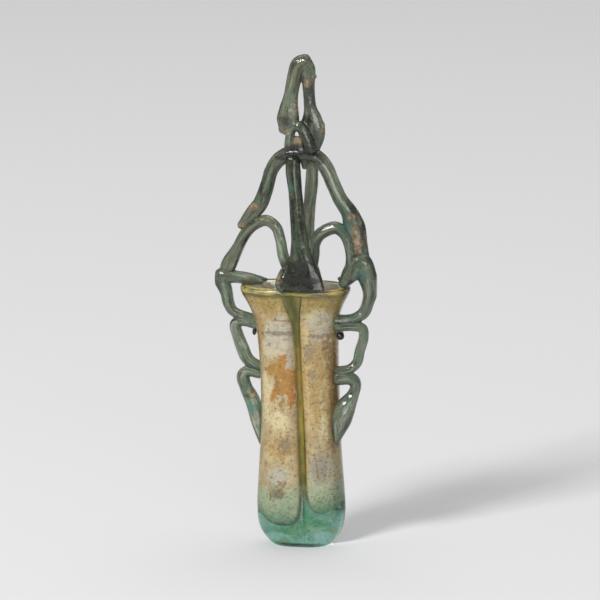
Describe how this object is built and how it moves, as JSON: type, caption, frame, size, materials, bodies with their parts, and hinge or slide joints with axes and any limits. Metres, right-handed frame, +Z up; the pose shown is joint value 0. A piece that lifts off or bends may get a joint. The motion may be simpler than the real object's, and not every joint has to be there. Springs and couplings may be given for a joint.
{
  "type": "glass double flask",
  "caption": "Pinched double-tube glass flask with an oval rim, zigzag side handles and a tall basket handle of trailed glass ending in a loop.",
  "frame": {"origin": "middle of the flat underside of the flask", "axes": "+X to the right along the two tubes, +Y to the back, +Z up"},
  "size_m": [0.0755, 0.0306, 0.23],
  "materials": {
    "body_glass": "yellowish aqua glass with cream, ochre and brown weathering inside",
    "trail_glass": "blue-green glass with lengthwise streaks, bubbles and tan weathering",
    "dark_post_glass": "dark green weathered glass",
    "dark_wire": "glossy black"
  },
  "bodies": {
    "root": {"double_tube_body": "body_glass", "left_side_handle": "trail_glass", "right_side_handle": "trail_glass", "left_arch": "trail_glass", "right_arch": "trail_glass", "upper_arch": "trail_glass", "front_post": "dark_post_glass", "back_post": "trail_glass", "top_loop": "trail_glass", "retaining_wire": "dark_wire"}
  },
  "joints": []
}
